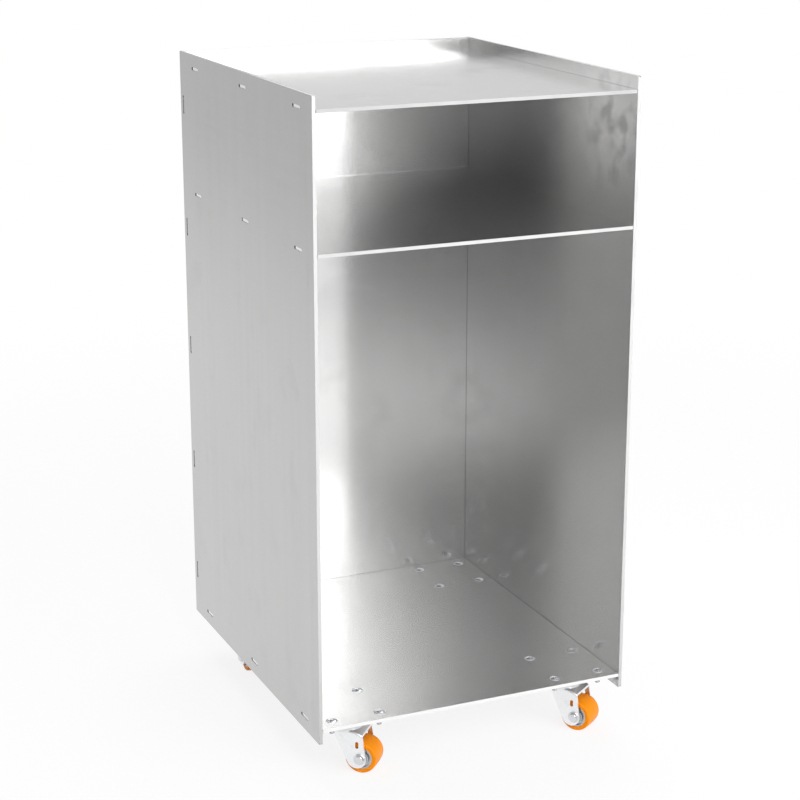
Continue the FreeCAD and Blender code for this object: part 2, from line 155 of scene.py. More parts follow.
class ShaderTree:
    """The node tree of a material or of the world, filled through one method."""

    def __init__(self, owner: Union[bpy.types.Material, bpy.types.World]) -> None:
        """Empty the owner's tree.

        Args:
            owner: the material or world whose nodes are made anew.
        """
        owner.use_nodes = True
        self.tree = owner.node_tree
        self.tree.nodes.clear()

    def node(
        self,
        kind: str,
        settings: Optional[dict[str, Any]] = None,
        inputs: Optional[dict[Union[int, str], Any]] = None,
        output: Union[int, str] = 0,
    ) -> Optional[Wire]:
        """Add a node of any type.

        Args:
            kind: the node's type.
            settings: its properties, set first.
            inputs: values or wires for its sockets, by index or name.
            output: which output to return.

        Returns:
            The chosen output, or nothing from a node that closes the tree.
        """
        made = self.tree.nodes.new(kind)
        for name, value in (settings or {}).items():
            setattr(made, name, value)
        for key, value in (inputs or {}).items():
            if isinstance(value, Wire):
                self.tree.links.new(value.socket, made.inputs[key])
            else:
                made.inputs[key].default_value = value
        return Wire(self, made.outputs[output]) if made.outputs else None

    def place(self) -> Wire:
        """Return the piece's own coordinates, in metres."""
        return self.node("ShaderNodeTexCoord", output="Object")

    def stretched(self, scale: Triple) -> Wire:
        """Return the piece's own coordinates, stretched by a factor along each axis."""
        return self.node("ShaderNodeMapping", {}, {"Vector": self.place(), "Scale": scale})

    def component(self, vector: Wire, axis: Axis) -> Wire:
        """Return one component of a vector."""
        return self.node("ShaderNodeSeparateXYZ", {}, {0: vector}, axis.value)

    def ray(self, kind: Ray) -> Wire:
        """Return 1 for rays of one kind and 0 for others."""
        return self.node("ShaderNodeLightPath", output=kind.value)

    def noise(self, where: Wire, scale: float, detail: float, roughness: float = 0.5) -> Wire:
        """Add a Noise texture.

        Args:
            where: its coordinates.
            scale: its frequency.
            detail: how many octaves it has.
            roughness: how strong the finer octaves are.

        Returns:
            A value about 0.5.
        """
        sockets = {"Vector": where, "Scale": scale, "Detail": detail, "Roughness": roughness}
        return self.node("ShaderNodeTexNoise", {}, sockets)

    def ramp(self, value: Wire, low: float, high: float) -> Wire:
        """Return 0 below low and 1 above high, with a smooth change between."""
        settings = {"interpolation_type": "SMOOTHSTEP"}
        return self.node("ShaderNodeMapRange", settings, {"Value": value, 1: low, 2: high})

    def shade(self, base: Colour, factor: Wire) -> Wire:
        """Return a colour made lighter or darker by a factor that varies over the surface."""
        grey = self.node("ShaderNodeCombineColor", {}, {0: factor, 1: factor, 2: factor})
        return self.blend(1.0, (*base, 1.0), grey, "MULTIPLY")

    def blend(self, factor: Number, first: Any, second: Any, mode: str = "MIX") -> Wire:
        """Mix two colours.

        Args:
            factor: the share of the second.
            first: a colour or a wire.
            second: a colour or a wire.
            mode: how they are mixed.

        Returns:
            The mixed colour.
        """
        settings = {"data_type": "RGBA", "blend_type": mode}
        return self.node("ShaderNodeMix", settings, {0: factor, 6: first, 7: second}, 2)

    def bump(self, height: Wire, strength: float, distance: float) -> Wire:
        """Return a normal bumped by a height, with its strength and its depth in metres."""
        sockets = {"Height": height, "Strength": strength, "Distance": distance}
        return self.node("ShaderNodeBump", {}, sockets)

    def surface(self, sockets: dict[str, Any]) -> None:
        """Close the tree with a Principled surface.

        Args:
            sockets: values or wires by socket name.
        """
        shader = self.node("ShaderNodeBsdfPrincipled", {}, sockets)
        self.node("ShaderNodeOutputMaterial", {}, {"Surface": shader})


@dataclass(frozen=True)
class Finish:
    """What a surface is made of.

    Attributes:
        name: the material's name.
    """

    name: str

    def fill(self, tree: ShaderTree) -> None:
        """Fill the material's tree; each kind of finish has its own way."""
        raise NotImplementedError

    def material(self) -> bpy.types.Material:
        """Make the finish.

        Returns:
            A new material.
        """
        made = bpy.data.materials.new(self.name)
        self.fill(ShaderTree(made))
        return made


@dataclass(frozen=True)
class SheetFinish(Finish):
    """Bare brushed aluminium sheet: lines along the grain, smudges, matt edges, tab ends painted
    pale as a highlight.

    Attributes:
        face: the axis square to the broad faces.
        grain: the axis along which the sheet was brushed.
        streak: how far reflections stretch across the grain.
        seams: the axes across which the sheet butts on others, with the seams' places.
        stain: the middle of a patch of handling marks on its inside, if the sheet has one.
        stain_reach: the radius of that patch.
        stain_light: how much lighter the patch is.
        stain_dark: how much darker its blotches are.
        stain_rough: how much rougher they are.
        edge_light_and_shade: how much lighter or darker the cut edges are painted than the faces,
            as painted light and shade.
        tab_highlight: how much lighter the ends of the tabs are painted, a painted highlight.
        rim: the height above which its inside is painted lighter as a highlight, if it has such a
            rim.
        rim_fade: from where to where, measured from the rim, that painted highlight grows.
        polish: how much lighter that painted highlight makes the sheet.
        ledge: the height of a shelf from which its inside, up to the rim, is dulled by handling.
        ledge_fade: from where to where, measured from the ledge, the haze grows.
        haze: how much lighter and rougher it makes the sheet.
        haze_film: how far it dulls the metal.
        glint: how much lighter a thin line along the shelf is painted, a painted highlight.
        glint_fade: from where to where, measured from the ledge, that line fades out.
        dust: how far a thin film of dust dulls its faces.
        metal: its colour.
        roughness: of its faces.
        edge_roughness: of its cut edges.
        seam_shade_depth: how much darker the painted shade along a seam is.
        seam_width: half the width of that painted shade along a seam.
    """

    face: Axis
    grain: Axis
    streak: float
    seams: tuple[tuple[Axis, float], ...] = ()
    stain: Optional[Triple] = None
    stain_reach: float = 0.13
    stain_light: float = 0.24
    stain_dark: float = 0.4
    stain_rough: float = 0.02
    edge_light_and_shade: float = -0.1
    tab_highlight: float = 0.85
    rim: Optional[float] = None
    rim_fade: Span = (-0.002, 0.001)
    polish: float = 0.6
    ledge: Optional[float] = None
    ledge_fade: Span = (-0.002, 0.0)
    haze: float = 0.03
    haze_film: float = 0.06
    glint: float = 0.25
    glint_fade: Span = (0.0005, 0.0015)
    dust: float = 0.0
    metal: Colour = (0.52, 0.52, 0.517)
    roughness: float = 0.175
    edge_roughness: float = 0.42
    seam_shade_depth: float = 0.55
    seam_width: float = 0.0011

    def grain_scale(self, fine: float, coarse: float) -> Triple:
        """Return the stretch of a pattern: fine across the grain and coarse along it."""
        return tuple(coarse if axis is self.grain else fine for axis in Axis)

    def fill(self, tree: ShaderTree) -> None:
        """Fill the tree: brushing, wear, painted shade and highlights vary tone, roughness and
        film of dust.
        """
        hairlines = tree.noise(tree.stretched(self.grain_scale(1500.0, 14.0)), 1.0, 2.0)
        streaks = tree.noise(tree.stretched(self.grain_scale(160.0, 3.0)), 1.0, 3.0)
        clouds = tree.noise(tree.place(), 7.0, 3.0, 0.55)
        rolling = tree.noise(tree.stretched((70.0, 70.0, 2.0)), 1.0, 3.0)
        smudges = tree.ramp(tree.noise(tree.place(), 16.0, 5.0, 0.6), 0.52, 0.7)
        normal = tree.node("ShaderNodeTexCoord", output="Normal")
        facing = tree.component(normal, self.face)
        edge = 1.0 - tree.ramp(abs(facing), 0.2, 0.95)
        inside = tree.ramp(-1.0 * facing, 0.3, 0.9)
        # The ends of the tabs, which get a painted highlight.
        tab_end = edge * tree.ramp(abs(tree.component(normal, Axis.ACROSS)), 0.5, 0.95)
        tone = 0.91 + 0.03 * streaks + 0.06 * clouds + 0.06 * rolling
        tone = tone + 0.03 * hairlines - 0.03 * smudges
        rough = self.roughness - 0.04 + 0.03 * streaks + 0.03 * clouds
        rough = rough + 0.02 * hairlines + 0.03 * smudges
        film = self.dust * (0.7 + 0.6 * clouds)
        if self.stain:
            near, marks = self.stain_marks(tree)
            tone = tone + inside * (self.stain_light * near - self.stain_dark * marks)
            rough = rough + self.stain_rough * inside * marks
        # Painted shade: a thin dark line along each seam, where the sheet butts on another.
        for axis, line in self.seams:
            tone = tone * (1.0 - self.seam_shade_depth * self.seam(tree, axis, line))
        if self.rim and self.ledge:
            # Painted highlights on the rim and on a line along the shelf; between them, haze from
            # handling.
            polished, handled, line = self.wear_and_highlight_marks(tree, inside)
            tone = tone + self.polish * polished + self.haze * handled + self.glint * line
            rough = rough + self.haze * handled
            film = film + self.haze_film * handled
        # Painted highlight on the tab ends, and painted light or shade on the other cut edges.
        tone = tone + self.tab_highlight * tab_end + self.edge_light_and_shade * (edge - tab_end)
        tree.surface({
            "Base Color": tree.shade(self.metal, tone),
            "Metallic": 1.0 - film,
            "Roughness": rough + (self.edge_roughness - self.roughness) * edge,
            "Anisotropic": self.streak,
            "Anisotropic Rotation": ACROSS_GRAIN,
            "Normal": tree.bump(hairlines + 0.6 * streaks, 0.006, 0.0002),
        })

    def seam(self, tree: ShaderTree, axis: Axis, line: float) -> Wire:
        """Make the thin line of painted shade where the sheet butts on another one.

        Args:
            tree: the tree to fill.
            axis: the axis square to the seam.
            line: the seam's place on it, in metres.

        Returns:
            A mask, 1 on the seam and 0 at a seam's width from it.
        """
        away = abs(tree.component(tree.place(), axis) - line)
        return 1.0 - tree.ramp(away, 0.4 * self.seam_width, self.seam_width)

    def stain_marks(self, tree: ShaderTree) -> tuple[Wire, Wire]:
        """Make a hazy patch with blotches that fades out from the stain's middle.

        Args:
            tree: the tree to fill.

        Returns:
            Two masks, 1 in the middle of the patch and 1 in a blotch.
        """
        ends = {0: tree.place(), 1: self.stain}
        middle = tree.node("ShaderNodeVectorMath", {"operation": "DISTANCE"}, ends, 1)
        near = 1.0 - tree.ramp(middle, 0.0, self.stain_reach)
        blotches = tree.ramp(tree.noise(tree.place(), 42.0, 3.0, 0.6), 0.42, 0.66)
        return near, near * blotches

    def wear_and_highlight_marks(self, tree: ShaderTree, inside: Wire) -> tuple[Wire, Wire, Wire]:
        """Part the sheet's inside by height, at the shelf and at the rim.

        Args:
            tree: the tree to fill.
            inside: a mask, 1 on the sheet's inner face.

        Returns:
            Three masks: 1 on the rim (painted highlight), 1 between shelf and rim (handling), 1
                on a line along the shelf (painted highlight).
        """
        polished = inside * self.above(tree, self.rim, self.rim_fade)
        handled = inside * self.above(tree, self.ledge, self.ledge_fade) - polished
        # A painted highlight: a thin lighter line just above the shelf.
        line = 1.0 - self.above(tree, self.ledge, self.glint_fade)
        return polished, handled, handled * line

    def above(self, tree: ShaderTree, level: float, fade: Span) -> Wire:
        """Return 0 below a level and 1 above it; the fade says where the change lies."""
        height = tree.component(tree.place(), Axis.UP)
        return tree.ramp(height, level + fade[0], level + fade[1])


@dataclass(frozen=True)
class PlatedFinish(Finish):
    """Bright zinc plate on pressed or turned steel: a faint crystal pattern and a cool cast.

    Attributes:
        metal: its colour.
        roughness: its mean roughness.
        crystal: the frequency of the plating's crystals, per metre.
        grease: from which height to which painted shade darkens it, standing in for the shade
            under the floor, if it has one.
        wear_and_highlight: how far the plating is dulled and painted lighter where the piece's
            "rim" attribute is 1, partly wear and partly a painted highlight.
    """

    metal: Colour
    roughness: float
    crystal: float
    grease: Optional[Span] = None
    wear_and_highlight: float = 0.0

    def fill(self, tree: ShaderTree) -> None:
        """Fill the tree: crystals, grime, painted shade high up and a dulled, lightened rim vary
        it.
        """
        sockets = {"Vector": tree.place(), "Scale": self.crystal}
        cells = tree.node("ShaderNodeTexVoronoi", {}, sockets)
        clouds = tree.noise(tree.place(), 40.0, 4.0)
        grime = tree.ramp(tree.noise(tree.place(), 110.0, 5.0, 0.6), 0.55, 0.75)
        tone = 0.93 + 0.06 * cells + 0.1 * clouds - 0.1 * grime
        # Painted shade: darker towards the top, where the floor above shades the caster.
        if self.grease:
            top_shaded = tree.ramp(tree.component(tree.place(), Axis.UP), *self.grease)
            tone = tone * (1.0 - top_shaded * (0.3 + 0.4 * clouds))
        rim = tree.node("ShaderNodeAttribute", {"attribute_name": "rim"}, output="Fac")
        # The rim is dulled by wear and painted lighter, a painted highlight round the screw
        # heads.
        dull = self.wear_and_highlight * rim
        tree.surface({
            "Base Color": tree.shade(self.metal, tone + 0.4 * dull),
            "Metallic": 1.0 - dull,
            "Roughness": self.roughness - 0.05 + 0.1 * clouds + 0.1 * grime + 0.3 * dull,
            "Normal": tree.bump(clouds + 0.3 * cells, 0.05, 0.0003),
        })


@dataclass(frozen=True)
class CastFinish(Finish):
    """Satin die-cast metal of the wheel cores: fine pits and a dull sheen.

    Attributes:
        metal: its colour.
        roughness: its mean roughness.
    """

    name: str = "satin_cast"
    metal: Colour = (0.5, 0.51, 0.53)
    roughness: float = 0.36

    def fill(self, tree: ShaderTree) -> None:
        """Fill the tree: fine pits and soft clouds."""
        pits = tree.noise(tree.place(), 1400.0, 3.0, 0.6)
        clouds = tree.noise(tree.place(), 90.0, 3.0)
        tree.surface({
            "Base Color": tree.shade(self.metal, 0.85 + 0.2 * clouds + 0.1 * pits),
            "Metallic": 1.0,
            "Roughness": self.roughness - 0.06 + 0.12 * clouds,
            "Normal": tree.bump(pits, 0.15, 0.0002),
        })


@dataclass(frozen=True)
class TreadFinish(Finish):
    """Cast orange polyurethane: saturated, softly glossy, with faint scuffs and dust.

    Attributes:
        colour: its clean colour.
        dust: its colour where it is scuffed.
        roughness: its mean roughness.
    """

    name: str = "orange_polyurethane"
    colour: Colour = (0.9, 0.275, 0.003)
    dust: Colour = (0.8, 0.33, 0.08)
    roughness: float = 0.36

    def fill(self, tree: ShaderTree) -> None:
        """Fill the tree: soft clouds, a fine grain and dusty scuffs."""
        clouds = tree.noise(tree.place(), 60.0, 3.0)
        grain = tree.noise(tree.place(), 2200.0, 2.0)
        scuffs = tree.ramp(tree.noise(tree.place(), 260.0, 5.0, 0.65), 0.58, 0.75)
        base = tree.shade(self.colour, 0.93 + 0.14 * clouds)
        tree.surface({
            "Base Color": tree.blend(0.12 * scuffs, base, (*self.dust, 1.0)),
            "Roughness": self.roughness - 0.04 + 0.08 * clouds + 0.14 * scuffs,
            "IOR": 1.5,
            "Specular IOR Level": 0.14,
            "Normal": tree.bump(grain, 0.05, 0.0002),
        })


@dataclass(frozen=True)
class NylonFinish(Finish):
    """Off-white nylon of the rings in the lock nuts.

    Attributes:
        colour: its mean colour.
    """

    name: str = "nylon_ring"
    colour: Colour = (0.62, 0.66, 0.72)

    def fill(self, tree: ShaderTree) -> None:
        """Fill the tree: a fine mottle."""
        mottle = tree.noise(tree.place(), 900.0, 3.0)
        tree.surface({
            "Base Color": tree.shade(self.colour, 0.9 + 0.2 * mottle),
            "Roughness": 0.4 + 0.1 * mottle,
            "IOR": 1.53,
            "Normal": tree.bump(mottle, 0.1, 0.0001),
        })


@dataclass(frozen=True)
class Placement:
    """A right-handed frame for a turned shape.

    Attributes:
        origin: its foot.
        axis: the direction of its heights.
        radial: the direction of angle zero.
    """

    origin: Vector
    axis: Vector
    radial: Vector

    def points(self, radius: np.ndarray, height: np.ndarray, angle: np.ndarray) -> np.ndarray:
        """Place a grid of cylinder coordinates.

        A point is the origin, plus the height along the axis, plus the radius along a direction
        that turns from the radial one by the angle.

        Args:
            radius: distances from the axis.
            height: distances along the axis.
            angle: turns about the axis, in radians.

        Returns:
            An array of points, one row each.
        """
        axis = np.array(self.axis)
        radial = np.array(self.radial)
        sideways = np.cross(axis, radial)
        around = np.cos(angle)[..., None] * radial + np.sin(angle)[..., None] * sideways
        grid = np.array(self.origin) + radius[..., None] * around + height[..., None] * axis
        return grid.reshape(-1, 3)


def grid_faces(rows: int, columns: int) -> np.ndarray:
    """Make the faces of a grid of points that closes on itself along its columns.

    Args:
        rows: how many rows of points it has.
        columns: how many points are in a row.

    Returns:
        Four point numbers for each face.
    """
    row = np.arange(rows - 1)[:, None] * columns
    column = np.arange(columns)[None, :]
    beside = (column + 1) % columns
    corners = (row + column, row + columns + column, row + columns + beside, row + beside)
    return np.stack(corners, axis=-1).reshape(-1, 4)


def add_piece(
    name: str,
    surface: Surface,
    finish: bpy.types.Material,
    rim: Optional[np.ndarray] = None,
) -> bpy.types.Object:
    """Make a mesh object of a finished surface.

    Args:
        name: the piece's name.
        surface: its points, and its faces as lists of point numbers.
        finish: its material.
        rim: a value for each point, 1 on a rim that is dulled and painted lighter, if it has one.

    Returns:
        The new object, at the origin.
    """
    points, faces = surface
    mesh = bpy.data.meshes.new(name)
    mesh.from_pydata(points.tolist(), [], faces)
    mesh.polygons.foreach_set("use_smooth", np.ones(len(mesh.polygons), dtype=bool))
    mesh.set_sharp_from_angle(angle=SHARP_ANGLE)
    mesh.materials.append(finish)
    if rim is not None:
        wear_and_highlight = mesh.attributes.new("rim", "FLOAT", "POINT")
        wear_and_highlight.data.foreach_set("value", rim.astype(np.float32))
    piece = bpy.data.objects.new(name, mesh)
    bpy.context.scene.collection.objects.link(piece)
    log.info("piece %s: %d faces", name, len(mesh.polygons))
    return piece


@dataclass(frozen=True)
class Fastener:
    """A screw or bolt with a real thread, measured from the seat of its head, in metres.

    Attributes:
        head: which head it has.
        head_width: across the sunk head, or across the flats of the hexagon.
        head_height: height of the hexagon above its seat, or depth of the socket.
        socket_width: across the flats of the socket.
        shank: radius of the shank.
        length: from the seat, or from the top of a sunk head, to the tip.
        threaded: length of the thread that shows.
        flange_width: across the flange under a hexagon head.
        flange_height: of that flange.
        bead: radius of the rounded rim of a sunk head.
        corner_cut: height over which a cone cuts a hexagon's corners.
        chamfer: of the flange, and of the thread's start.
        lip: height of the bevel at the socket's mouth, and depth of the one at the tip.
        pitch: of the thread.
        thread_depth: its depth over its pitch.
        thread_flat: share of the pitch that is flat at the root.
        thread_flank: share of the pitch that its two flanks take; the rest is the flat crest.
        socket_floor: width of the socket's floor over that of its wall.
        socket_foot: depth of the foot of that wall over the socket's depth.
        socket_mouth: radius of the socket's round mouth over that of the hexagon's corners.
        columns: how many points go round.
        bead_rings: how many rings make the bead of a sunk head.
        crown_rings: how many rings make the cut corners of a hexagon.
        rows_per_pitch: how many rings go into one turn of the thread.
    """

    head: Head
    head_width: float
    head_height: float
    socket_width: float
    shank: float
    length: float
    threaded: float
    flange_width: float = 0.0
    flange_height: float = 0.0
    bead: float = 0.0006
    corner_cut: float = 0.0008
    chamfer: float = 0.0003
    lip: float = 0.0002
    pitch: float = 0.001
    thread_depth: float = 0.61
    thread_flat: float = 0.12
    thread_flank: float = 0.72
    socket_floor: float = 0.96
    socket_foot: float = 0.97
    socket_mouth: float = 1.04
    columns: int = 60
    bead_rings: int = 9
    crown_rings: int = 7
    rows_per_pitch: int = 12

    def angles(self) -> np.ndarray:
        """Return the angles of the grid's columns."""
        return np.arange(self.columns) * (FULL_TURN / self.columns)

    def hexagon(self, width: float) -> np.ndarray:
        """Return a hexagon's radii: half its width over the cosine of the turn from a flat."""
        turn = np.mod(self.angles(), math.pi / 3) - math.pi / 6
        return width / 2 / np.cos(turn)

    def sunk_rings(self) -> Rings:
        """Make the rings of a sunk head, from the floor of its socket to the shank.

        They climb the hexagonal wall to a flat, rise over a half-round bead at the rim and fall
        along a right-angled cone.

        Returns:
            Pairs of radii round the axis and a height.
        """
        ring = np.ones(self.columns)
        socket = self.hexagon(self.socket_width)
        mouth = self.socket_width / math.sqrt(3)
        top = self.head_width / 2
        well = [
            (socket * self.socket_floor, -self.head_height),
            (socket, -self.head_height * self.socket_foot),
            (socket, -self.lip),
            (ring * mouth * self.socket_mouth, 0.0),
        ]
        turns = np.linspace(math.pi, 0.0, self.bead_rings)
        inward = top - self.bead * (1.0 + np.cos(turns))
        bead = [(ring * edge, rise) for edge, rise in zip(inward, self.bead * np.sin(turns))]
        return well + bead + [(ring * self.shank, self.shank - top)]

    def hexagon_rings(self) -> Rings:
        """Make the rings of a hexagon head, from its top to the shank.

        The head is the smaller of the hexagon and a cone that cuts its corners, over a round
        flange with a small chamfer.

        Returns:
            Pairs of radii round the axis and a height.
        """
        ring = np.ones(self.columns)
        prism = self.hexagon(self.head_width)
        steps = np.linspace(0.0, 1.0, self.crown_rings)
        first = self.head_width / 2 - self.corner_cut / 2
        cone = first + steps * (self.head_width / math.sqrt(3) - first)
        falls = self.head_height - self.corner_cut * steps
        flat = [(ring * (self.head_width / 2 - self.corner_cut), self.head_height)]
        crown = [(np.minimum(prism, ring * edge), fall) for edge, fall in zip(cone, falls)]
        edge = self.flange_width / 2
        flange = [
            (prism, self.flange_height),
            (ring * (edge - self.chamfer), self.flange_height),
            (ring * edge, self.flange_height - self.chamfer),
            (ring * edge, 0.0),
        ]
        return flat + crown + flange + [(ring * self.shank, 0.0)]

    def thread_rings(self) -> Rings:
        """Make the rings of the threaded end and its chamfered tip.

        The height over the pitch, less the angle's share of a turn, gives a place within one
        thread. A triangle wave on it, cut flat at crest and root, runs from the root radius to
        the shank's. A cone cuts the tip.

        Returns:
            Pairs of radii round the axis and a height.
        """
        root = self.shank - self.thread_depth * self.pitch
        count = max(4, int(self.threaded / self.pitch * self.rows_per_pitch))
        heights = np.linspace(self.threaded - self.length, -self.length, count)
        place = np.mod(heights[:, None] / self.pitch - self.angles()[None, :] / FULL_TURN, 1.0)
        wave = (1.0 - 2.0 * np.abs(place - 0.5) - self.thread_flat) / self.thread_flank
        tip = root - self.lip + (heights + self.length)[:, None]
        radius = np.minimum(root + (self.shank - root) * np.clip(wave, 0.0, 1.0), tip)
        return list(zip(radius, heights))

    def surface(self, placements: list[Placement]) -> Surface:
        """Work out the closed surface of one or several copies.

        The rings of the head, the shank and the thread make a grid; a point on the axis closes
        each end.

        Args:
            placements: where the copies stand.

        Returns:
            Their points and faces.
        """
        rings = self.sunk_rings() if self.head is Head.SUNK_SOCKET else self.hexagon_rings()
        start = self.threaded - self.length + self.chamfer
        rings += [(np.full(self.columns, self.shank), start)] + self.thread_rings()
        radius = np.array([ring for ring, _ in rings])
        levels = np.array([level for _, level in rings])
        height = np.broadcast_to(levels[:, None], radius.shape)
        angle = np.broadcast_to(self.angles(), radius.shape)
        count = radius.size
        columns = np.arange(self.columns)
        beside = (columns + 1) % self.columns
        last = count - self.columns
        pole = np.full(self.columns, count)
        start_fan = np.stack((pole, columns, beside), axis=-1)
        end_fan = np.stack((pole + 1, last + beside, last + columns), axis=-1)
        quads = grid_faces(len(rings), self.columns)
        points, faces = [], []
        for number, placement in enumerate(placements):
            poles = placement.points(np.zeros(2), levels[[0, -1]], np.zeros(2))
            points.append(np.vstack((placement.points(radius, height, angle), poles)))
            shift = number * (count + 2)
            for part in (quads, start_fan, end_fan):
                faces += (part + shift).tolist()
        return np.vstack(points), faces


@dataclass
class Carcass:
    """The six sheets of the cart with their finishes.

    Attributes:
        streak: how far reflections stretch across the grain of the left side.
        inner_streak: the same for the right side and the back, which are seen from inside.
        inner_roughness: of those two.
        marks: the middle of the patch of handling marks inside the right side.
    """

    streak: float = 0.8
    inner_streak: float = 0.88
    inner_roughness: float = 0.163
    marks: Triple = (0.196, -0.18, 0.75)

    def finishes(self) -> dict[str, SheetFinish]:
        """Choose each sheet's finish; what lies between the sides has painted shade along its
        seams.

        Returns:
            The finishes by the names of the nodes.
        """
        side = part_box("right_side_panel")[0].x
        sides = ((Axis.ACROSS, -side), (Axis.ACROSS, side))
        around = sides + ((Axis.DEPTH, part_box("back_panel")[0].y),)
        level = {"face": Axis.UP, "grain": Axis.ACROSS, "streak": 0.0, "seams": around}
        inner = {
            "streak": self.inner_streak,
            "roughness": self.inner_roughness,
            "rim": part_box("top_tray")[1].z,
            "ledge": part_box("middle_shelf")[1].z,
        }
        # The sheets are one aluminium: their different metal colours are painted light and shade,
        # the floor and shelf lighter, the left side and tray darker.
        return {
            "left_side_panel": SheetFinish(
                "left_side_sheet", Axis.ACROSS, Axis.DEPTH, self.streak,
                metal=(0.505, 0.505, 0.502)),
            "right_side_panel": SheetFinish(
                "right_side_sheet", Axis.ACROSS, Axis.DEPTH, stain=self.marks, **inner),
            "back_panel": SheetFinish(
                "back_sheet", Axis.DEPTH, Axis.ACROSS, seams=sides, seam_shade_depth=0.3, **inner),
            "top_tray": SheetFinish(
                "tray_sheet", edge_light_and_shade=-0.3, metal=(0.5, 0.5, 0.497), **level),
            "middle_shelf": SheetFinish(
                "shelf_sheet", dust=0.08, metal=(0.55, 0.55, 0.547), **level),
            "floor_panel": SheetFinish(
                "floor_sheet", edge_light_and_shade=0.45, dust=0.12, metal=(0.59, 0.59, 0.587), **level),
        }

    def dress(self) -> None:
        """Give each sheet its finish."""
        for node, finish in self.finishes().items():
            frame["nodes"][node].material_slots[0].material = finish.material()
            log.info("dressed %s", node)


@dataclass
class FloorFasteners:
    """The sunk screws and nuts that hold the caster plates under the floor.

    Attributes:
        steel: the nuts' material.
        wear_and_highlight_steel: the screws' material, its heads' rims dulled and painted lighter
            as a painted highlight.
        spacing_across: of a plate's holes.
        spacing_along: of a plate's holes, front to back.
        head_width: across a screw's head.
        socket_width: across the flats of its socket.
        socket_depth: of that socket.
        shank: radius of its shank.
        thread_shown: length of the thread below and inside the nut.
        wear_and_highlight_from: share of the height of the head's bead above which it is dulled
            and painted lighter.
    """

    steel: bpy.types.Material
    wear_and_highlight_steel: bpy.types.Material
    spacing_across: float = 0.060
    spacing_along: float = 0.066
    head_width: float = 0.0126
    socket_width: float = 0.004
    socket_depth: float = 0.0022
    shank: float = 0.003
    thread_shown: float = 0.006
    wear_and_highlight_from: float = 0.1

    def placements(self) -> list[Placement]:
        """Find where each screw's head stands.

        Returns:
            Four places round the middle of every caster plate.
        """
        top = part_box("floor_screws")[1].z
        found = []
        for corner in Corner:
            low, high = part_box(corner.value + "_caster_plate")
            middle = (low + high) / 2
            for side in (-0.5, 0.5):
                for end in (-0.5, 0.5):
                    offset = Vector((side * self.spacing_across, end * self.spacing_along, 0.0))
                    origin = Vector((middle.x, middle.y, top)) + offset
                    found.append(Placement(origin, Vector((0, 0, 1)), Vector((1, 0, 0))))
        return found

    def build(self) -> None:
        """Make the screws in place of their plain solids and finish the nuts."""
        low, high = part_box("floor_screws")
        screw = Fastener(
            Head.SUNK_SOCKET, self.head_width, self.socket_depth, self.socket_width, self.shank,
            high.z - low.z, self.thread_shown)
        surface = screw.surface(self.placements())
        rim = surface[0][:, Axis.UP.value] > high.z + self.wear_and_highlight_from * screw.bead
        piece = add_piece("threaded_floor_screws", surface, self.wear_and_highlight_steel, rim)
        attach(piece, "carcass")
        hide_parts("floor_screws")
        nuts = frame["nodes"]["floor_nuts"]
        nuts.material_slots[0].material = self.steel


